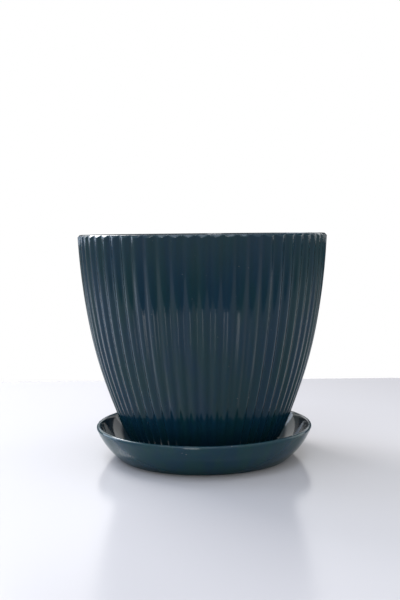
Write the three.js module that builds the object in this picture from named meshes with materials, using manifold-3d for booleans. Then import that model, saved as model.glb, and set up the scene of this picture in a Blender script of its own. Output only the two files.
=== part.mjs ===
// A ribbed plant pot standing in its loose saucer: two one-piece plastic mouldings.
// Millimetres and degrees. +Z is up, the origin is the centre of the saucer's underside, and
// z = 0 is what it stands on. The rib that faces -Y is centred on the Y axis.

import * as THREE from 'three';
import { mergeVertices } from 'three/addons/utils/BufferGeometryUtils.js';
import Module from 'manifold-3d';

const wasm = await Module();
wasm.setup();

// The pot's outside, from the rim down to the foot: each stretch is as tall as its drop, and
// its wall leans more and more from upright, from the lean above it to its own lower lean
const rimRadius = 82.5;
const rimLean = 2.4;
const collarDrop = 62.8;
const collarLowerLean = 10.8;
const bellyDrop = 35.7;
const bellyLowerLean = 18.5;
const coneDrop = 27.7;
const coneLowerLean = 21.8;
const heelDrop = 17.8;
const heelLowerLean = 41.5;

// The pot's ribs, which run from the rim's bevel down the wall and fade out over the heel. The
// broadening makes the crests wider than the grooves between them, 0 making them alike
const ribCount = 62;
const grooveDepth = 1.2;
const crestBroadening = 0.08;

// The pot's wall, rim, floor and foot
const wallBehindGrooves = 1.6;
const bevelHeight = 1.6;
const bevelWidth = 1.5;
const potFloorThickness = 2.4;
const footRecess = 1.6;
const footRingWidth = 6;

// The pot's drain holes: one in the middle and a ring of them round it
const drainHoleRadius = 2.5;
const drainHoleCount = 8;
const drainRingRadius = 20;

// The saucer, whose rim stands clear of the pot all round
const saucerHeight = 21.4;
const saucerWall = 3;
const saucerGap = 14.6;
const saucerRimLean = 23;
const saucerLowerLean = 51;
const saucerFloorThickness = 1.6;
const saucerFootRecess = 1.2;
const saucerFootRingWidth = 7;

// The ribs on the saucer's floor that carry the pot above spilt water
const seatRibCount = 8;
const seatRibHeight = 1.4;
const seatRibWidth = 3;
const seatRibInnerRadius = 12;
const seatRibOverhang = 2;
const seatClearance = 0.3;

// How finely round things are cut
const columnsPerRib = 4;
const saucerSides = 72;
const holeSides = 16;
const collarRings = 4;
const bellyRings = 3;
const coneRings = 2;
const heelRings = 4;
const saucerWallRings = 5;
const saucerRimRings = 5;
const cutMargin = 1;

const petrolBlue = 0x103340;

const radians = THREE.MathUtils.degToRad;

const saucerFloorTop = saucerFootRecess + saucerFloorThickness;
const seatTop = saucerFloorTop + seatRibHeight;
const potFoot = seatTop + seatClearance;
const heelTop = potFoot + heelDrop;
const bellyFoot = heelTop + coneDrop;
const collarFoot = bellyFoot + bellyDrop;
const potTop = collarFoot + collarDrop;
const bevelFoot = potTop - bevelHeight;
const potFloorTop = potFoot + footRecess + potFloorThickness;
const wallThrough = wallBehindGrooves + grooveDepth;

// An outline is a list of tangent stretches, each an arc or a straight line, from the top down
function outlineFrom(topRadius, topHeight, topLean, stretches) {
  const outline = [];
  let top = { radius: topRadius, height: topHeight, lean: radians(topLean) };
  for (const { drop, lowerLean } of stretches) {
    const stretch = { top, drop, lowerLean: radians(lowerLean) };
    outline.push(stretch);
    top = pointOn(stretch, top.height - drop);
  }
  return outline;
}

// The radius and lean of one stretch at a height: the sine of the lean grows evenly on an arc
function pointOn({ top, drop, lowerLean }, height) {
  const fall = top.height - height;
  const sine = THREE.MathUtils.lerp(Math.sin(top.lean), Math.sin(lowerLean), fall / drop);
  const lean = Math.asin(sine);
  const radius = top.radius - fall * Math.tan((top.lean + lean) / 2);
  return { radius, height, lean };
}

function pointAt(outline, height) {
  const stretch = outline.find(({ top, drop }) => height >= top.height - drop);
  return pointOn(stretch ?? outline[outline.length - 1], height);
}

// The radius of a wall's inner side at a height
function innerRadius(outline, height, thickness) {
  const { radius, lean } = pointAt(outline, height);
  return radius - thickness / Math.cos(lean);
}

// Heights from one down to another in even steps, without the first
function stepsDown(from, to, count) {
  return Array.from({ length: count }, (_, step) => from + ((to - from) * (step + 1)) / count);
}

function toSolid(geometry) {
  const bare = geometry.clone();
  bare.deleteAttribute('normal');
  bare.deleteAttribute('uv');
  const merged = mergeVertices(bare, 1e-4);
  const mesh = new wasm.Mesh({
    numProp: 3,
    vertProperties: new Float32Array(merged.attributes.position.array),
    triVerts: new Uint32Array(merged.index.array),
  });
  return new wasm.Manifold(mesh);
}

function toMesh(name, solid, material) {
  const { vertProperties, triVerts } = solid.getMesh();
  const geometry = new THREE.BufferGeometry();
  geometry.setAttribute('position', new THREE.BufferAttribute(vertProperties, 3));
  geometry.setIndex(new THREE.BufferAttribute(triVerts, 1));
  geometry.computeVertexNormals();
  const mesh = new THREE.Mesh(geometry, material);
  mesh.name = name;
  return mesh;
}

// A body of revolution about +Z from radius and height pairs, rising along its outside
function revolve(pairs, sides) {
  const points = pairs.map(([radius, height]) => new THREE.Vector2(radius, height));
  return new THREE.LatheGeometry(points, sides).rotateX(Math.PI / 2);
}

function uprightCylinder(radius, bottom, top, sides) {
  const geometry = new THREE.CylinderGeometry(radius, radius, top - bottom, sides);
  return geometry.rotateX(Math.PI / 2).translate(0, 0, (bottom + top) / 2);
}

const potOutline = outlineFrom(rimRadius, potTop, rimLean, [
  { drop: collarDrop, lowerLean: collarLowerLean },
  { drop: bellyDrop, lowerLean: bellyLowerLean },
  { drop: coneDrop, lowerLean: coneLowerLean },
  { drop: heelDrop, lowerLean: heelLowerLean },
]);
const potFootRadius = pointAt(potOutline, potFoot).radius;

// How far the wall is pressed in at a phase across a rib, 0 being the rib's crest and a half
// the bottom of a groove, and at a height
function pressedIn(phase, height) {
  const turn = phase * 2 * Math.PI;
  const wave = 1 - Math.cos(turn) - crestBroadening * (1 - Math.cos(2 * turn));
  const kept = THREE.MathUtils.clamp((height - potFoot) / heelDrop, 0, 1);
  return (grooveDepth * kept * wave) / 2;
}

// The pot's outside: rings of the outline, pressed in between the ribs. The rim's bevel is a
// plain cone, so it cuts deeper into the ribs than into the grooves
function potOutside() {
  const heights = [
    bevelFoot,
    ...stepsDown(bevelFoot, collarFoot, collarRings),
    ...stepsDown(collarFoot, bellyFoot, bellyRings),
    ...stepsDown(bellyFoot, heelTop, coneRings),
    ...stepsDown(heelTop, potFoot, heelRings),
  ];
  const bevelTopRadius = pointAt(potOutline, bevelFoot).radius - bevelWidth;
  const rings = heights.map((height) => ({ radius: pointAt(potOutline, height).radius, height }));
  const points = [
    new THREE.Vector2(0, potFoot),
    ...rings.reverse().map(({ radius, height }) => new THREE.Vector2(radius, height)),
    new THREE.Vector2(bevelTopRadius, potTop),
    new THREE.Vector2(0, potTop),
  ];
  const geometry = new THREE.LatheGeometry(points, ribCount * columnsPerRib);
  const position = geometry.attributes.position;
  for (let index = 0; index < position.count; index += 1) {
    const column = Math.floor(index / points.length);
    const ring = rings[(index % points.length) - 1];
    if (ring) {
      const share = 1 - pressedIn(column / columnsPerRib, ring.height) / ring.radius;
      position.setX(index, position.getX(index) * share);
      position.setZ(index, position.getZ(index) * share);
    }
  }
  return geometry.rotateX(Math.PI / 2);
}

// The room for the soil
function potCavity() {
  const heights = [
    ...stepsDown(potTop, collarFoot, collarRings),
    ...stepsDown(collarFoot, bellyFoot, bellyRings),
    ...stepsDown(bellyFoot, heelTop, coneRings),
    ...stepsDown(heelTop, potFloorTop, heelRings),
  ];
  const wall = heights.reverse().map((height) => [
    innerRadius(potOutline, height, wallThrough),
    height,
  ]);
  const mouthRadius = innerRadius(potOutline, potTop, wallThrough);
  const above = potTop + cutMargin;
  const mouth = [[mouthRadius, potTop], [mouthRadius, above], [0, above]];
  return revolve([[0, potFloorTop], ...wall, ...mouth], ribCount);
}

function drainHoles() {
  const bottom = potFoot - cutMargin;
  const top = potFloorTop + cutMargin;
  const holes = [uprightCylinder(drainHoleRadius, bottom, top, holeSides)];
  for (let hole = 0; hole < drainHoleCount; hole += 1) {
    const turn = (hole / drainHoleCount) * 2 * Math.PI;
    const cutter = uprightCylinder(drainHoleRadius, bottom, top, holeSides);
    holes.push(cutter.translate(drainRingRadius, 0, 0).rotateZ(turn));
  }
  return holes;
}

function makePot() {
  const recess = uprightCylinder(
    potFootRadius - footRingWidth,
    potFoot - cutMargin,
    potFoot + footRecess,
    ribCount,
  );
  let solid = toSolid(potOutside());
  for (const cutter of [potCavity(), recess, ...drainHoles()]) {
    solid = solid.subtract(toSolid(cutter));
  }
  const material = new THREE.MeshStandardMaterial({
    color: new THREE.Color(petrolBlue),
    roughness: 0.3,
    metalness: 0,
  });
  return toMesh('pot', solid, material);
}

// The saucer's rim is a full round on the end of its wall
const rimRound = saucerWall / 2;
const saucerRimHeight = saucerHeight - rimRound;
const saucerRimRadius = pointAt(potOutline, saucerRimHeight).radius + saucerGap + rimRound;
const saucerWallTop = saucerRimHeight - rimRound * Math.sin(radians(saucerRimLean));
const saucerOutline = outlineFrom(
  saucerRimRadius + rimRound * Math.cos(radians(saucerRimLean)),
  saucerWallTop,
  saucerRimLean,
  [{ drop: saucerWallTop, lowerLean: saucerLowerLean }],
);
const saucerFootRadius = pointAt(saucerOutline, 0).radius;

function saucerShell() {
  const outside = [0, ...stepsDown(0, saucerWallTop, saucerWallRings)].map((height) => [
    pointAt(saucerOutline, height).radius,
    height,
  ]);
  const rim = [];
  for (let ring = 1; ring < saucerRimRings; ring += 1) {
    const turn = Math.PI * (ring / saucerRimRings) - radians(saucerRimLean);
    rim.push([
      saucerRimRadius + rimRound * Math.cos(turn),
      saucerRimHeight + rimRound * Math.sin(turn),
    ]);
  }
  const inside = [saucerWallTop, ...stepsDown(saucerWallTop, saucerFloorTop, saucerWallRings)];
  const innerWall = inside.map((height) => [
    innerRadius(saucerOutline, height, saucerWall),
    height,
  ]);
  const recessRadius = saucerFootRadius - saucerFootRingWidth;
  return revolve(
    [
      [0, saucerFootRecess],
      [recessRadius, saucerFootRecess],
      [recessRadius, 0],
      ...outside,
      ...rim,
      ...innerWall,
      [0, saucerFloorTop],
    ],
    saucerSides,
  );
}

// One rib of the seat, sunk a little into the floor that it is moulded with
function seatRib(turn) {
  const sunk = saucerFloorThickness / 2;
  const outerRadius = potFootRadius + seatRibOverhang;
  const length = outerRadius - seatRibInnerRadius;
  const geometry = new THREE.BoxGeometry(length, seatRibWidth, seatRibHeight + sunk);
  const middle = (seatRibInnerRadius + outerRadius) / 2;
  return geometry.translate(middle, 0, seatTop - (seatRibHeight + sunk) / 2).rotateZ(turn);
}

function makeSaucer() {
  let solid = toSolid(saucerShell());
  for (let rib = 0; rib < seatRibCount; rib += 1) {
    solid = solid.add(toSolid(seatRib((rib / seatRibCount) * 2 * Math.PI)));
  }
  const material = new THREE.MeshStandardMaterial({
    color: new THREE.Color(petrolBlue),
    roughness: 0.25,
    metalness: 0,
  });
  return toMesh('saucer', solid, material);
}

const planter = new THREE.Group();
planter.add(makeSaucer(), makePot());

export default planter;
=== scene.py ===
"""A ribbed plastic plant pot standing in its saucer, dressed over its fixed frame."""

import math
import bmesh
import bpy
from mathutils import Matrix, Vector


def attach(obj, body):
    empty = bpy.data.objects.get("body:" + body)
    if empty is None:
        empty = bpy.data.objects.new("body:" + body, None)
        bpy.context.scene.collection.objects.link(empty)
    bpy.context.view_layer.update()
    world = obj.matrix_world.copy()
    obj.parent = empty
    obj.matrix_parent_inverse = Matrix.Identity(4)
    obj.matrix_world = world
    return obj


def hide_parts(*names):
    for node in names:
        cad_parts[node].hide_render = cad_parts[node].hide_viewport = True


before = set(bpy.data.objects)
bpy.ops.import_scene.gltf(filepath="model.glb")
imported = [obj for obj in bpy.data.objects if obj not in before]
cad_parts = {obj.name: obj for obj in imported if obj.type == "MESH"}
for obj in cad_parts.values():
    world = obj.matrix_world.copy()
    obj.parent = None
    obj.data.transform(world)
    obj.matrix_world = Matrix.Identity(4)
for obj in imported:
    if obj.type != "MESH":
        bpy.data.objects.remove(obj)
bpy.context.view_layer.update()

# Sizes in metres, leans in degrees from upright. The saucer's underside is z = 0
MM = 0.001

# The pot's outer wall, in four stretches from the rim down to the foot
RIM_RADIUS = 82.5 * MM
RIM_LEAN = 2.4
COLLAR_DROP = 62.8 * MM
COLLAR_LOWER_LEAN = 10.8
BELLY_DROP = 35.7 * MM
BELLY_LOWER_LEAN = 18.5
CONE_DROP = 27.7 * MM
CONE_LOWER_LEAN = 21.8
HEEL_DROP = 17.8 * MM
HEEL_LOWER_LEAN = 41.5

RIB_COUNT = 62
GROOVE_DEPTH = 1.2 * MM
CREST_BROADENING = 0.08

WALL_BEHIND_GROOVES = 1.6 * MM
BEVEL_HEIGHT = 1.6 * MM
BEVEL_WIDTH = 1.5 * MM
BEVEL_SOFTNESS = 0.12 * MM
LIP_ROUND = 0.35 * MM
POT_FLOOR_THICKNESS = 2.4 * MM
POT_FLOOR_FILLET = 3 * MM
FOOT_RECESS = 1.6 * MM
FOOT_RING_WIDTH = 6 * MM
FOOT_ROUND = 0.5 * MM

DRAIN_HOLE_RADIUS = 2.5 * MM
DRAIN_HOLE_COUNT = 8
DRAIN_RING_RADIUS = 20 * MM
PLATE_RADIUS = 26 * MM

SAUCER_HEIGHT = 21.4 * MM
SAUCER_WALL = 3 * MM
SAUCER_GAP = 14.6 * MM
SAUCER_RIM_LEAN = 23
SAUCER_LOWER_LEAN = 51
SAUCER_FLOOR_THICKNESS = 1.6 * MM
SAUCER_FOOT_RECESS = 1.2 * MM
SAUCER_FOOT_RING_WIDTH = 7 * MM
SAUCER_FLOOR_FILLET = 4 * MM

SEAT_RIB_COUNT = 8
SEAT_RIB_HEIGHT = 1.4 * MM
SEAT_RIB_WIDTH = 3 * MM
SEAT_RIB_BEVEL = 0.4 * MM
SEAT_RIB_INNER_RADIUS = 12 * MM
SEAT_RIB_OVERHANG = 2 * MM
SEAT_CLEARANCE = 0.3 * MM

# How finely the shapes are cut
COLUMNS_PER_RIB = 14
SAUCER_SECTORS = 24
SAUCER_SECTOR_COLUMNS = 10
WALL_STEP = 5 * MM
INNER_STEP = 9 * MM
RIM_STEP = 0.22 * MM
SAUCER_STEP = 1.25 * MM
SAUCER_RIM_STEPS = 16
ROUND_STEPS = 4
HOLE_SIDES = 32
CUT_MARGIN = 1 * MM
WELD = 0.002 * MM
UPRIGHT_LIMIT = 0.5
CREASE_ANGLE = 40

# Wear, 0 on new plastic and 1 where it is rubbed most
WORN_ATTRIBUTE = "worn"
WEAR_REACH = 0.5 * MM
WEAR_DEPTH_WEIGHT = 0.5
SAUCER_RIM_WEAR = 0.5
SEAT_WEAR = 0.5

# Finish. Roughness is as the shader takes it, colours are linear. Each pair of petrols is the
# bluer and the greener end of a drift in the dye
POT_PETROLS = ((0.0055, 0.031, 0.058, 1), (0.0060, 0.035, 0.046, 1))
# The saucer's petrols are lighter than the pot's: painted light, standing in for the stronger light
# that falls on the saucer
SAUCER_PETROLS_WITH_PAINTED_LIGHT = ((0.0085, 0.044, 0.074, 1), (0.0095, 0.052, 0.063, 1))
RUBBED_PETROL = (0.035, 0.085, 0.11, 1)
RUBBED_SHARE = 0.5
DUST_COLOUR = (0.33, 0.34, 0.33, 1)
WORN_ROUGHNESS = 0.15
DUST_ROUGHNESS = 0.5
PLASTIC_SPECULAR = 0.35

# Where each pattern sets in, over the values of its noise, how far a face's normal rises, or the
# distance from the middle of a speck's cell
PETROL_DRIFT_SPAN = (0.35, 0.65)
SMEAR_SPAN = (0.45, 0.75)
FACING_UP_SPAN = (0.6, 0.95)
DUST_PATCH_SPAN = (0.42, 0.75)
SPECKS_PER_METRE = 260
SPECK_SPAN = (0.09, 0.05)
SPECK_CLUSTER_SPAN = (0.55, 0.62)

# Light. The radiance of a white surface in full light is 1
WHITE = (1, 1, 1, 1)
PLAIN_TINT = (1, 1, 1)
COOL_TINT = (0.86, 1.0, 1.22)
AIM_HEIGHT = 0.07
FLOOR_HALF_WIDTH = 1.5
FLOOR_FRONT = -0.33
FLOOR_BACK = 0.30
FLOOR_WHITE = (0.71, 0.69, 0.71, 1)
# Painted shade: gloss sees the floor darker than the camera does, standing in for the shadow on the
# floor in front of the pot
FLOOR_PAINTED_SHADE_IN_GLOSS = (0.50, 0.51, 0.52, 1)
FLOOR_ROUGHNESS = 0.2

# The studio. Its even level lights what is matt, and gloss mirrors the other levels
STUDIO_LEVEL = 0.56
STUDIO_FRONT = 0.14
STUDIO_HORIZON = 0.40
STUDIO_LEFT = 0.04
STUDIO_BACK = 0.08
STUDIO_BACK_LEFT = 0.25
STUDIO_LOW_DIMMING = 0.8
STUDIO_BRIGHT = 1.2
STUDIO_CEILING = 0.3

# Where each of those sets in, along a direction's part to the right, to the back or upwards
HORIZON_SPAN = (-0.32, -0.04)
LEFT_SPAN = (0.1, -0.8)
BACK_SPAN = (0.05, 0.40)
BACK_LEFT_SPAN = (0.12, -0.12)
LOW_START_SPAN = (-0.05, 0.0)
LOW_END_SPAN = (0.18, 0.12)
BRIGHT_BACK_SPAN = (0.45, 0.60)
BRIGHT_START_SPAN = (0.222, 0.242)
BRIGHT_END_SPAN = (0.44, 0.36)
CEILING_SPAN = (0.60, 0.85)

# The camera, where the photograph was taken from. The sensor's width is the image's long side
CAMERA_PLACE = Vector((-1.85 * MM, -607.6 * MM, 151.3 * MM))
CAMERA_PITCH = 4.44
CAMERA_ROLL = 0.59
CAMERA_LENS = 54.5
CAMERA_NEAR = 10 * MM
SENSOR_WIDTH = 36.0

# The colour mix node's sockets, by number, because its kinds of socket share their names
MIX_SHARE = 0
MIX_FIRST_COLOUR = 6
MIX_SECOND_COLOUR = 7
MIX_COLOUR = 2

NUMBER = "NodeSocketFloat"
COLOUR = "NodeSocketColor"

saucer_floor_top = SAUCER_FOOT_RECESS + SAUCER_FLOOR_THICKNESS
seat_top = saucer_floor_top + SEAT_RIB_HEIGHT
pot_foot = seat_top + SEAT_CLEARANCE
pot_top = pot_foot + HEEL_DROP + CONE_DROP + BELLY_DROP + COLLAR_DROP
pot_floor_top = pot_foot + FOOT_RECESS + POT_FLOOR_THICKNESS
wall_through = WALL_BEHIND_GROOVES + GROOVE_DEPTH


# Outlines

def stretch_point(stretch, height):
    """Radius and lean of one arc or straight stretch at a height."""
    (top_radius, top_height, top_lean), drop, lower_lean = stretch
    fall = top_height - height
    sine_top = math.sin(top_lean)
    sine = sine_top + (math.sin(lower_lean) - sine_top) * fall / drop
    lean = math.asin(sine)
    return top_radius - fall * math.tan((top_lean + lean) / 2), lean


def outline_from(radius, height, lean, stretches):
    """Tangent stretches from the top down, each as tall as its drop."""
    outline = []
    top = (radius, height, math.radians(lean))
    for drop, lower_lean in stretches:
        stretch = (top, drop, math.radians(lower_lean))
        outline.append(stretch)
        lower_height = top[1] - drop
        lower_radius, lower = stretch_point(stretch, lower_height)
        top = (lower_radius, lower_height, lower)
    return outline


def outline_at(outline, height):
    """Radius and lean of an outline at a height, the lowest stretch going on below its end."""
    for stretch in outline:
        top, drop, _ = stretch
        if height >= top[1] - drop:
            return stretch_point(stretch, height)
    return stretch_point(outline[-1], height)


def wall_radius(outline, height, behind=0):
    """The radius of a wall's outer face, or of a face as far behind it, at a height."""
    radius, lean = outline_at(outline, height)
    return radius - behind / math.cos(lean)


def wall_points(outline, low, high, step, behind=0):
    """Radius and height pairs up a wall from low to high, both included, about a step apart."""
    count = max(1, round((high - low) / step))
    heights = [low + (high - low) * index / count for index in range(count + 1)]
    return [(wall_radius(outline, height, behind), height) for height in heights]


def rounded(before, corner, after, radius):
    """Points of the arc that rounds a corner between two straight sides."""
    corner = Vector(corner)
    to_before = (Vector(before) - corner).normalized()
    to_after = (Vector(after) - corner).normalized()
    half = to_before.angle(to_after) / 2
    reach = radius / math.tan(half)
    middle = corner + (to_before + to_after).normalized() * (radius / math.sin(half))
    start = corner + to_before * reach - middle
    end = corner + to_after * reach - middle
    turn = start.angle_signed(end)
    points = []
    for step in range(ROUND_STEPS + 1):
        arm = start.copy()
        arm.rotate(Matrix.Rotation(-turn * step / ROUND_STEPS, 2))
        points.append(tuple(middle + arm))
    return points


pot_outline = outline_from(RIM_RADIUS, pot_top, RIM_LEAN, [
    (COLLAR_DROP, COLLAR_LOWER_LEAN),
    (BELLY_DROP, BELLY_LOWER_LEAN),
    (CONE_DROP, CONE_LOWER_LEAN),
    (HEEL_DROP, HEEL_LOWER_LEAN),
])
pot_foot_radius = wall_radius(pot_outline, pot_foot)
bevel_foot = pot_top - BEVEL_HEIGHT
bevel_top_radius = wall_radius(pot_outline, bevel_foot) - BEVEL_WIDTH

rim_round = SAUCER_WALL / 2
saucer_rim_height = SAUCER_HEIGHT - rim_round
saucer_rim_radius = wall_radius(pot_outline, saucer_rim_height) + SAUCER_GAP + rim_round
saucer_rim_lean = math.radians(SAUCER_RIM_LEAN)
saucer_wall_top = saucer_rim_height - rim_round * math.sin(saucer_rim_lean)
saucer_outline = outline_from(
    saucer_rim_radius + rim_round * math.cos(saucer_rim_lean),
    saucer_wall_top, SAUCER_RIM_LEAN, [(saucer_wall_top, SAUCER_LOWER_LEAN)],
)
saucer_foot_radius = wall_radius(saucer_outline, 0)


# Mesh helpers

def from_axis(point):
    return math.hypot(point.x, point.y)


def close_up(bm):
    """Merges what lies together and turns every face outwards."""
    bmesh.ops.remove_doubles(bm, verts=bm.verts, dist=WELD)
    bmesh.ops.recalc_face_normals(bm, faces=bm.faces)


def revolve(profile, sectors, sector_columns):
    """Spins radius and height pairs through one sector and repeats the sector all round."""
    bm = bmesh.new()
    verts = [bm.verts.new((radius, 0, height)) for radius, height in profile]
    edges = [bm.edges.new(pair) for pair in zip(verts, verts[1:])]
    sector_turn = 2 * math.pi / sectors
    bmesh.ops.spin(
        bm, geom=verts + edges, cent=(0, 0, 0), axis=(0, 0, 1), dvec=(0, 0, 0),
        angle=sector_turn, steps=sector_columns,
    )
    sector = bm.verts[:] + bm.edges[:] + bm.faces[:]
    bmesh.ops.spin(
        bm, geom=sector, cent=(0, 0, 0), axis=(0, 0, 1), dvec=(0, 0, 0),
        angle=2 * math.pi - sector_turn, steps=sectors - 1, use_duplicate=True,
    )
    close_up(bm)
    return bm


def upright_cylinder(bm, radius, low, high, place, sides):
    middle = Vector((place[0], place[1], (low + high) / 2))
    bmesh.ops.create_cone(
        bm, cap_ends=True, segments=sides, radius1=radius, radius2=radius,
        depth=high - low, matrix=Matrix.Translation(middle),
    )


def new_object(name, bm):
    """An object at the origin with a bmesh's faces. The bmesh is used up."""
    mesh = bpy.data.meshes.new(name)
    bm.to_mesh(mesh)
    bm.free()
    made = bpy.data.objects.new(name, mesh)
    bpy.context.scene.collection.objects.link(made)
    return made


def difference(solid, cutter):
    """The mesh of a solid without the cutter's space. Both objects are used up."""
    cut = solid.modifiers.new("cut", "BOOLEAN")
    cut.operation = "DIFFERENCE"
    cut.solver = "EXACT"
    cut.object = cutter
    shown = solid.evaluated_get(bpy.context.evaluated_depsgraph_get())
    mesh = bpy.data.meshes.new_from_object(shown)
    bpy.data.objects.remove(solid)
    bpy.data.objects.remove(cutter)
    return mesh


def finish_piece(piece, material, wear_at):
    """Gives a piece its material and wear, and shades it smooth between its creases."""
    piece.data.materials.append(material)
    worn = piece.data.attributes.new(WORN_ATTRIBUTE, "FLOAT", "POINT")
    for vert in piece.data.vertices:
        worn.data[vert.index].value = wear_at(vert.co)
    piece.data.shade_smooth()
    piece.data.set_sharp_from_angle(angle=math.radians(CREASE_ANGLE))


# Pot

def rib_phase(point):
    """The turn across the ribs at a point, a full turn from crest to crest. A crest faces -Y."""
    return RIB_COUNT * math.atan2(point.x, -point.y)


def pressed_in(phase, height):
    """How far the grooves press the wall in. They fade out down the heel."""
    wave = 1 - math.cos(phase) - CREST_BROADENING * (1 - math.cos(2 * phase))
    kept = min(1, max(0, (height - pot_foot) / HEEL_DROP))
    return GROOVE_DEPTH * kept * wave / 2


def bevel_radius(height):
    slope = BEVEL_WIDTH / BEVEL_HEIGHT
    return bevel_top_radius + (pot_top - height) * slope


def soft_least(first, second, softness):
    """The lesser of two radii, with the corner between them rounded."""
    gap = max(softness - abs(first - second), 0) / softness
    return min(first, second) - gap * gap * softness / 4


def press_ribs(bm):
    """Presses the grooves into the outer wall and cuts the rim's bevel across the ribs."""
    for vert in bm.verts:
        radius = from_axis(vert.co)
        height = vert.co.z
        outer = wall_radius(pot_outline, height)
        if radius < outer - wall_through / 2 or height < pot_foot:
            continue
        ribbed = radius - pressed_in(rib_phase(vert.co), height)
        pressed = soft_least(ribbed, bevel_radius(height), BEVEL_SOFTNESS)
        vert.co.x *= pressed / radius
        vert.co.y *= pressed / radius


def pot_profile():
    """Radius and height pairs from the floor's underside, over the rim, to the floor's top."""
    recess_top = pot_foot + FOOT_RECESS
    recess_radius = pot_foot_radius - FOOT_RING_WIDTH
    recess_middle = (0, recess_top)
    recess_corner = (recess_radius, recess_top)
    ring_inner = (recess_radius, pot_foot)
    ring_outer = (pot_foot_radius, pot_foot)
    rim_foot = pot_top - 2 * BEVEL_HEIGHT
    outer = wall_points(pot_outline, pot_foot + FOOT_ROUND, rim_foot, WALL_STEP)
    rim = wall_points(pot_outline, rim_foot, pot_top - LIP_ROUND / 2, RIM_STEP)
    mouth = (wall_radius(pot_outline, pot_top, wall_through), pot_top)
    lip_flat = (mouth[0] + LIP_ROUND * 2, pot_top)
    fillet_top = pot_floor_top + POT_FLOOR_FILLET
    inner = wall_points(pot_outline, fillet_top, pot_top - LIP_ROUND, INNER_STEP, wall_through)
    inner.reverse()
    floor_corner = (wall_radius(pot_outline, pot_floor_top, wall_through), pot_floor_top)
    floor_middle = (0, pot_floor_top)
    return [
        (PLATE_RADIUS, recess_top),
        *rounded(recess_middle, recess_corner, ring_inner, FOOT_ROUND / 2),
        *rounded(recess_corner, ring_inner, ring_outer, FOOT_ROUND / 2),
        *rounded(ring_inner, ring_outer, outer[1], FOOT_ROUND),
        *outer[1:],
        *rim[1:],
        *rounded(lip_flat, mouth, inner[1], LIP_ROUND),
        *inner[1:-1],
        *rounded(inner[-2], floor_corner, floor_middle, POT_FLOOR_FILLET),
        (PLATE_RADIUS, pot_floor_top),
    ]


def drain_places():
    """One hole in the middle of the floor and a ring of holes round it."""
    places = [(0, 0)]
    for hole in range(DRAIN_HOLE_COUNT):
        turn = 2 * math.pi * hole / DRAIN_HOLE_COUNT
        places.append((DRAIN_RING_RADIUS * math.cos(turn), DRAIN_RING_RADIUS * math.sin(turn)))
    return places


def is_plate_edge(face):
    """Whether a face stands on the plate's round edge, where the floor joins it."""
    at_edge = all(from_axis(vert.co) > PLATE_RADIUS - WELD for vert in face.verts)
    return at_edge and abs(face.normal.z) < UPRIGHT_LIMIT


def drain_plate():
    """The middle of the pot's floor with its holes, open round its edge."""
    low = pot_foot + FOOT_RECESS
    plate = bmesh.new()
    upright_cylinder(plate, PLATE_RADIUS, low, pot_floor_top, (0, 0), RIB_COUNT * COLUMNS_PER_RIB)
    drills = bmesh.new()
    for place in drain_places():
        upright_cylinder(
            drills, DRAIN_HOLE_RADIUS, low - CUT_MARGIN, pot_floor_top + CUT_MARGIN,
            place, HOLE_SIDES,
        )
    mesh = difference(new_object("plate", plate), new_object("drills", drills))
    bm = bmesh.new()
    bm.from_mesh(mesh)
    edge_faces = [face for face in bm.faces if is_plate_edge(face)]
    bmesh.ops.delete(bm, geom=edge_faces, context="FACES_ONLY")
    bm.to_mesh(mesh)
    bm.free()
    return mesh


def pot_mesh():
    bm = revolve(pot_profile(), RIB_COUNT, COLUMNS_PER_RIB)
    bm.from_mesh(drain_plate())
    close_up(bm)
    press_ribs(bm)
    return bm


def pot_wear(point):
    """The bevel's outer edge, low on each crest and close to the lip in each groove."""
    if point.z < bevel_foot - WEAR_REACH:
        return 0
    ribbed = wall_radius(pot_outline, point.z) - pressed_in(rib_phase(point), point.z)
    behind = ribbed - from_axis(point)
    from_edge = abs(ribbed - bevel_radius(point.z)) + WEAR_DEPTH_WEIGHT * behind
    return max(0, 1 - from_edge / WEAR_REACH)


def make_pot():
    pot = new_object("ribbed_pot", pot_mesh())
    finish_piece(pot, pot_plastic(), pot_wear)
    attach(pot, "pot")
    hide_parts("pot")


# Saucer

def saucer_rim_points():
    """Points over the half round rim, from the outer face of the wall to the inner one."""
    points = []
    for step in range(1, SAUCER_RIM_STEPS):
        turn = math.pi * step / SAUCER_RIM_STEPS - saucer_rim_lean
        radius = saucer_rim_radius + rim_round * math.cos(turn)
        height = saucer_rim_height + rim_round * math.sin(turn)
        points.append((radius, height))
    return points


def saucer_profile():
    """Radius and height pairs from the underside's middle, over the rim, to the floor's."""
    recess_radius = saucer_foot_radius - SAUCER_FOOT_RING_WIDTH
    recess_middle = (0, SAUCER_FOOT_RECESS)
    recess_corner = (recess_radius, SAUCER_FOOT_RECESS)
    ring_inner = (recess_radius, 0)
    ring_outer = (saucer_foot_radius, 0)
    outer = wall_points(saucer_outline, 0, saucer_wall_top, SAUCER_STEP)
    fillet_top = saucer_floor_top + SAUCER_FLOOR_FILLET / 2
    inner = wall_points(saucer_outline, fillet_top, saucer_wall_top, SAUCER_STEP, SAUCER_WALL)
    inner.reverse()
    floor_radius = wall_radius(saucer_outline, saucer_floor_top, SAUCER_WALL)
    floor_corner = (floor_radius, saucer_floor_top)
    floor_middle = (0, saucer_floor_top)
    return [
        recess_middle,
        (recess_radius / 2, SAUCER_FOOT_RECESS),
        *rounded(recess_middle, recess_corner, ring_inner, FOOT_ROUND / 2),
        *rounded(recess_corner, ring_inner, ring_outer, FOOT_ROUND / 2),
        *rounded(ring_inner, ring_outer, outer[1], FOOT_ROUND),
        *outer[1:],
        *saucer_rim_points(),
        *inner[:-1],
        *rounded(inner[-2], floor_corner, floor_middle, SAUCER_FLOOR_FILLET),
        (floor_radius / 2, saucer_floor_top),
        floor_middle,
    ]


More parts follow.
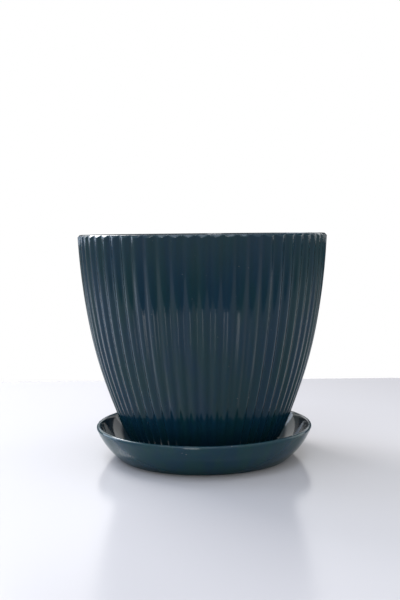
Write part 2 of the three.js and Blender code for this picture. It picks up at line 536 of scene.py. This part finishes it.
def add_seat_ribs(bm):
    """The radial ribs that carry the pot, sunk a little into the floor they are moulded with."""
    outer_radius = pot_foot_radius + SEAT_RIB_OVERHANG
    length = outer_radius - SEAT_RIB_INNER_RADIUS
    height = SEAT_RIB_HEIGHT + SAUCER_FLOOR_THICKNESS / 2
    middle = Vector(((SEAT_RIB_INNER_RADIUS + outer_radius) / 2, 0, seat_top - height / 2))
    for rib in range(SEAT_RIB_COUNT):
        made = bmesh.ops.create_cube(bm, size=1)
        verts = made["verts"]
        bmesh.ops.scale(bm, verts=verts, vec=(length, SEAT_RIB_WIDTH, height))
        bmesh.ops.translate(bm, verts=verts, vec=middle)
        turn = Matrix.Rotation(2 * math.pi * rib / SEAT_RIB_COUNT, 3, "Z")
        bmesh.ops.rotate(bm, verts=verts, cent=(0, 0, 0), matrix=turn)
        edges = {edge for vert in verts for edge in vert.link_edges}
        bmesh.ops.bevel(
            bm, geom=list(edges), offset=SEAT_RIB_BEVEL, segments=2, profile=0.5,
            affect="EDGES", material=-1,
        )


def saucer_mesh():
    bm = revolve(saucer_profile(), SAUCER_SECTORS, SAUCER_SECTOR_COLUMNS)
    add_seat_ribs(bm)
    return bm


def saucer_wear(point):
    """The top of the rim and the tops of the seat ribs, where the pot stands."""
    if point.z > saucer_rim_height:
        return SAUCER_RIM_WEAR * (point.z - saucer_rim_height) / rim_round
    on_seat = abs(point.z - seat_top) < WELD and from_axis(point) < pot_foot_radius
    return SEAT_WEAR if on_seat else 0


def make_saucer():
    saucer = new_object("round_saucer", saucer_mesh())
    finish_piece(saucer, saucer_plastic(), saucer_wear)
    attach(saucer, "saucer")
    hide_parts("saucer")


# Node helpers

def material_with_nodes(name):
    material = bpy.data.materials.new(name)
    material.use_nodes = True
    tree = material.node_tree
    return material, tree, tree.nodes["Principled BSDF"]


def feed(tree, socket, value):
    """Links a socket to another node's, or sets it to a plain number or colour."""
    if isinstance(value, bpy.types.NodeSocket):
        tree.links.new(value, socket)
    else:
        socket.default_value = value


def new_group(name, inputs, outputs):
    """An empty node group with its named sockets, each a number or a colour."""
    group = bpy.data.node_groups.new(name, "ShaderNodeTree")
    for label, kind in inputs.items():
        group.interface.new_socket(label, in_out="INPUT", socket_type=kind)
    for label, kind in outputs.items():
        group.interface.new_socket(label, in_out="OUTPUT", socket_type=kind)
    source = group.nodes.new("NodeGroupInput")
    result = group.nodes.new("NodeGroupOutput")
    return group, source.outputs, result.inputs


def place_group(tree, group, **values):
    placed = tree.nodes.new("ShaderNodeGroup")
    placed.node_tree = group
    for label, value in values.items():
        feed(tree, placed.inputs[label], value)
    return placed


def calculate(tree, operation, *values):
    """A math node on sockets or plain numbers. Returns its result socket."""
    math_node = tree.nodes.new("ShaderNodeMath")
    math_node.operation = operation
    for socket, value in zip(math_node.inputs, values):
        feed(tree, socket, value)
    return math_node.outputs["Value"]


def blend_numbers(tree, share, first, second):
    """A number between two sockets or plain numbers. Returns its socket."""
    mix = tree.nodes.new("ShaderNodeMix")
    feed(tree, mix.inputs["Factor"], share)
    feed(tree, mix.inputs["A"], first)
    feed(tree, mix.inputs["B"], second)
    return mix.outputs["Result"]


def blend_colours(tree, share, first, second):
    """A colour between two sockets or plain colours. Returns its socket."""
    mix = tree.nodes.new("ShaderNodeMix")
    mix.data_type = "RGBA"
    feed(tree, mix.inputs[MIX_SHARE], share)
    feed(tree, mix.inputs[MIX_FIRST_COLOUR], first)
    feed(tree, mix.inputs[MIX_SECOND_COLOUR], second)
    return mix.outputs[MIX_COLOUR]


def share_across(tree, value, span):
    """A value's share of the way across a rising or falling span, smoothly from 0 to 1."""
    step = tree.nodes.new("ShaderNodeMapRange")
    step.interpolation_type = "SMOOTHSTEP"
    step.inputs["From Min"].default_value = span[0]
    step.inputs["From Max"].default_value = span[1]
    tree.links.new(value, step.inputs["Value"])
    return step.outputs["Result"]


def split_vector(tree, vector):
    """The sockets of a vector's X, Y and Z."""
    split = tree.nodes.new("ShaderNodeSeparateXYZ")
    tree.links.new(vector, split.inputs["Vector"])
    return split.outputs["X"], split.outputs["Y"], split.outputs["Z"]


def noise(tree, scale, detail, upright_stretch=1):
    """Noise on Object coordinates, its spots drawn out upwards. Returns its value's socket."""
    place = tree.nodes.new("ShaderNodeTexCoord")
    stretch = tree.nodes.new("ShaderNodeMapping")
    stretch.inputs["Scale"].default_value = (1, 1, 1 / upright_stretch)
    texture = tree.nodes.new("ShaderNodeTexNoise")
    texture.inputs["Scale"].default_value = scale
    texture.inputs["Detail"].default_value = detail
    tree.links.new(place.outputs["Object"], stretch.inputs["Vector"])
    tree.links.new(stretch.outputs["Vector"], texture.inputs["Vector"])
    return texture.outputs["Fac"]


# Finish

def moulded_relief_group():
    """Height in millimetres: the slow waviness of a cooled wall and a fine skin grain."""
    group, given, result = new_group(
        "moulded_relief", {"Waviness": NUMBER, "Grain": NUMBER}, {"Height": NUMBER},
    )
    slow = noise(group, scale=48, detail=1, upright_stretch=1.6)
    fine = noise(group, scale=900, detail=2)
    waves = calculate(group, "MULTIPLY", slow, given["Waviness"])
    both = calculate(group, "MULTIPLY_ADD", fine, given["Grain"], waves)
    feed(group, result["Height"], both)
    return group


def petrol_shades_group():
    """The dye's drift between a bluer and a greener petrol, in streaks along the wall."""
    group, given, result = new_group(
        "petrol_shades", {"Bluer": COLOUR, "Greener": COLOUR}, {"Color": COLOUR},
    )
    streaks = noise(group, scale=90, detail=3, upright_stretch=7)
    drift = share_across(group, streaks, PETROL_DRIFT_SPAN)
    colour = blend_colours(group, drift, given["Bluer"], given["Greener"])
    feed(group, result["Color"], colour)
    return group


def settled_dust_group():
    """Where dust lies: a thin patchy film on what faces up, and specks scattered all over."""
    group, given, result = new_group(
        "settled_dust", {"Amount": NUMBER, "Specks": NUMBER}, {"Mask": NUMBER},
    )
    surface = group.nodes.new("ShaderNodeNewGeometry")
    _, _, upward = split_vector(group, surface.outputs["Normal"])
    faces_up = share_across(group, upward, FACING_UP_SPAN)
    patches = share_across(group, noise(group, scale=120, detail=4), DUST_PATCH_SPAN)
    film = calculate(group, "MULTIPLY", faces_up, patches)
    film = calculate(group, "MULTIPLY", film, given["Amount"])
    place = group.nodes.new("ShaderNodeTexCoord")
    cells = group.nodes.new("ShaderNodeTexVoronoi")
    cells.inputs["Scale"].default_value = SPECKS_PER_METRE
    group.links.new(place.outputs["Object"], cells.inputs["Vector"])
    dots = share_across(group, cells.outputs["Distance"], SPECK_SPAN)
    clusters = share_across(group, noise(group, scale=75, detail=2), SPECK_CLUSTER_SPAN)
    specks = calculate(group, "MULTIPLY", dots, clusters)
    specks = calculate(group, "MULTIPLY", specks, given["Specks"])
    mask = calculate(group, "MAXIMUM", film, specks)
    feed(group, result["Mask"], mask)
    return group


def worn_gloss_group():
    """Roughness: a moulded gloss with faint smears, duller where it is worn or dusty."""
    group, given, result = new_group(
        "worn_gloss",
        {"Gloss": NUMBER, "Smears": NUMBER, "Worn": NUMBER, "Dust": NUMBER},
        {"Roughness": NUMBER},
    )
    spots = noise(group, scale=38, detail=4, upright_stretch=0.6)
    smears = share_across(group, spots, SMEAR_SPAN)
    base = calculate(group, "MULTIPLY_ADD", smears, given["Smears"], given["Gloss"])
    worn = calculate(group, "MULTIPLY_ADD", given["Worn"], WORN_ROUGHNESS, base)
    dusty = calculate(group, "MULTIPLY_ADD", given["Dust"], DUST_ROUGHNESS, worn)
    feed(group, result["Roughness"], dusty)
    return group


moulded_relief = moulded_relief_group()
petrol_shades = petrol_shades_group()
settled_dust = settled_dust_group()
worn_gloss = worn_gloss_group()


def petrol_plastic(name, petrols, waviness, grain, gloss, smears, dust, specks):
    """Glossy dyed plastic, its worn edges given by the piece's own attribute."""
    material, tree, shader = material_with_nodes(name)
    attribute = tree.nodes.new("ShaderNodeAttribute")
    attribute.attribute_name = WORN_ATTRIBUTE
    worn = attribute.outputs["Fac"]
    bluer, greener = petrols
    shades = place_group(tree, petrol_shades, Bluer=bluer, Greener=greener)
    settled = place_group(tree, settled_dust, Amount=dust, Specks=specks)
    dusty = settled.outputs["Mask"]
    finish = place_group(tree, worn_gloss, Gloss=gloss, Smears=smears, Worn=worn, Dust=dusty)
    relief = place_group(tree, moulded_relief, Waviness=waviness, Grain=grain)
    share = calculate(tree, "MULTIPLY", worn, RUBBED_SHARE)
    rubbed = blend_colours(tree, share, shades.outputs["Color"], RUBBED_PETROL)
    colour = blend_colours(tree, dusty, rubbed, DUST_COLOUR)
    bump = tree.nodes.new("ShaderNodeBump")
    feed(tree, bump.inputs["Distance"], MM)
    feed(tree, bump.inputs["Height"], relief.outputs["Height"])
    feed(tree, shader.inputs["Base Color"], colour)
    feed(tree, shader.inputs["Roughness"], finish.outputs["Roughness"])
    feed(tree, shader.inputs["Normal"], bump.outputs["Normal"])
    feed(tree, shader.inputs["Specular IOR Level"], PLASTIC_SPECULAR)
    return material


def pot_plastic():
    return petrol_plastic(
        "pot_plastic", POT_PETROLS, waviness=0.2, grain=0.02,
        gloss=0.055, smears=0.06, dust=0.15, specks=0.35,
    )


def saucer_plastic():
    """Lighter than the pot's, as painted light for the stronger light that falls on the saucer, and
    flatter, but with more specks of dust.
    """
    return petrol_plastic(
        "saucer_plastic", SAUCER_PETROLS_WITH_PAINTED_LIGHT, waviness=0.12, grain=0.012,
        gloss=0.05, smears=0.05, dust=0.12, specks=0.6,
    )


# Floor, lamps and studio

def make_floor():
    """A pale sheet whose near edge the pot's wall mirrors as a line of scallops. Gloss sees it
    darker, a painted shade for the shadow on the floor in front of the pot.
    """
    bm = bmesh.new()
    bmesh.ops.create_grid(bm, x_segments=1, y_segments=1, size=1)
    half_depth = (FLOOR_BACK - FLOOR_FRONT) / 2
    middle = (0, (FLOOR_BACK + FLOOR_FRONT) / 2, 0)
    bmesh.ops.scale(bm, verts=bm.verts, vec=(FLOOR_HALF_WIDTH, half_depth, 1))
    bmesh.ops.translate(bm, verts=bm.verts, vec=middle)
    floor = new_object("studio_floor", bm)
    material, tree, shader = material_with_nodes("floor_white")
    path = tree.nodes.new("ShaderNodeLightPath")
    # Painted shade: glossy rays see the darker floor colour
    colour = blend_colours(tree, path.outputs["Is Glossy Ray"], FLOOR_WHITE, FLOOR_PAINTED_SHADE_IN_GLOSS)
    feed(tree, shader.inputs["Base Color"], colour)
    feed(tree, shader.inputs["Roughness"], FLOOR_ROUGHNESS)
    floor.data.materials.append(material)


def add_softbox(name, turn, distance, height, width, tall, radiance, tint=PLAIN_TINT):
    """A soft lamp that faces the planter, turned from straight in front, left being minus.

    Its power is its radiance times its area times pi.
    """
    data = bpy.data.lights.new(name, "AREA")
    data.shape = "RECTANGLE"
    data.size = width
    data.size_y = tall
    data.energy = radiance * math.pi * width * tall
    data.color = tint
    lamp = bpy.data.objects.new(name, data)
    bpy.context.scene.collection.objects.link(lamp)
    angle = math.radians(turn)
    place = Vector((distance * math.sin(angle), -distance * math.cos(angle), height))
    facing = (place - Vector((0, 0, AIM_HEIGHT))).to_track_quat("Z", "Y")
    lamp.matrix_world = Matrix.Translation(place) @ facing.to_matrix().to_4x4()
    lamp.visible_camera = False
    return lamp


def add_lamps():
    """Lamps above and all round. Only gloss shows the strip, as bright lines along the ribs."""
    add_softbox(
        "overhead", turn=0, distance=0.1, height=1.3,
        width=1.0, tall=0.4, radiance=2.4, tint=COOL_TINT,
    )
    add_softbox(
        "front_key", turn=-26, distance=0.9, height=1.6,
        width=1.6, tall=0.4, radiance=2.2, tint=COOL_TINT,
    )
    strip = add_softbox(
        "front_strip", turn=-13, distance=1.4, height=0.5,
        width=0.38, tall=0.4, radiance=12,
    )
    strip.visible_diffuse = False
    add_softbox(
        "left_side", turn=-115, distance=1.0, height=0.45,
        width=0.6, tall=0.8, radiance=3.0, tint=COOL_TINT,
    )
    add_softbox(
        "back_left", turn=-140, distance=0.6, height=0.6,
        width=0.35, tall=0.35, radiance=12,
    )
    add_softbox(
        "right_side", turn=115, distance=1.2, height=0.45,
        width=0.6, tall=0.8, radiance=1.6,
    )


def front_level(tree, rightward, upward):
    """The near side: dim below the horizon and grey above it, a trace paler on the left."""
    above = share_across(tree, upward, HORIZON_SPAN)
    level = calculate(tree, "MULTIPLY_ADD", above, STUDIO_HORIZON, STUDIO_FRONT)
    on_left = share_across(tree, rightward, LEFT_SPAN)
    return calculate(tree, "MULTIPLY_ADD", on_left, STUDIO_LEFT, level)


def back_level(tree, rightward, upward):
    """The far side: dim, paler on the left, and darkest just above the horizon."""
    on_left = share_across(tree, rightward, BACK_LEFT_SPAN)
    level = calculate(tree, "MULTIPLY_ADD", on_left, STUDIO_BACK_LEFT, STUDIO_BACK)
    above_start = share_across(tree, upward, LOW_START_SPAN)
    below_end = share_across(tree, upward, LOW_END_SPAN)
    low = calculate(tree, "MULTIPLY", above_start, below_end)
    kept = calculate(tree, "MULTIPLY_ADD", low, -STUDIO_LOW_DIMMING, 1)
    return calculate(tree, "MULTIPLY", level, kept)


def bright_band(tree, backward, upward):
    """A bright band across the far side, higher up."""
    above_start = share_across(tree, upward, BRIGHT_START_SPAN)
    below_end = share_across(tree, upward, BRIGHT_END_SPAN)
    band = calculate(tree, "MULTIPLY", above_start, below_end)
    at_back = share_across(tree, backward, BRIGHT_BACK_SPAN)
    return calculate(tree, "MULTIPLY", band, at_back)


def mirrored_level(tree):
    """How bright the studio is in each direction, to what mirrors it."""
    place = tree.nodes.new("ShaderNodeTexCoord")
    rightward, backward, upward = split_vector(tree, place.outputs["Generated"])
    front = front_level(tree, rightward, upward)
    back = back_level(tree, rightward, upward)
    further = calculate(tree, "SUBTRACT", back, front)
    behind = share_across(tree, backward, BACK_SPAN)
    level = calculate(tree, "MULTIPLY_ADD", behind, further, front)
    bright = bright_band(tree, backward, upward)
    level = calculate(tree, "MULTIPLY_ADD", bright, STUDIO_BRIGHT, level)
    ceiling = share_across(tree, upward, CEILING_SPAN)
    return calculate(tree, "MULTIPLY_ADD", ceiling, STUDIO_CEILING, level)


def make_world():
    """Even soft light for what is matt, a studio for gloss to mirror, and white behind all."""
    world = bpy.data.worlds.new("studio")
    bpy.context.scene.world = world
    world.use_nodes = True
    tree = world.node_tree
    path = tree.nodes.new("ShaderNodeLightPath")
    lit = blend_numbers(tree, path.outputs["Is Glossy Ray"], STUDIO_LEVEL, mirrored_level(tree))
    shown = blend_numbers(tree, path.outputs["Is Camera Ray"], lit, 1)
    background = tree.nodes["Background"]
    feed(tree, background.inputs["Strength"], shown)
    feed(tree, background.inputs["Color"], WHITE)


def make_camera():
    """The camera. Tilted by 90 degrees it would look level along +Y, and its pitch tips it down."""
    data = bpy.data.cameras.new("camera")
    data.sensor_width = SENSOR_WIDTH
    data.lens = CAMERA_LENS
    data.clip_start = CAMERA_NEAR
    camera = bpy.data.objects.new("camera", data)
    bpy.context.scene.collection.objects.link(camera)
    tilt = Matrix.Rotation(math.radians(90 - CAMERA_PITCH), 4, "X")
    roll = Matrix.Rotation(math.radians(-CAMERA_ROLL), 4, "Z")
    camera.matrix_world = Matrix.Translation(CAMERA_PLACE) @ tilt @ roll
    bpy.context.scene.camera = camera


bpy.context.scene.view_settings.view_transform = "Standard"
make_camera()
make_world()
make_floor()
add_lamps()
make_saucer()
make_pot()
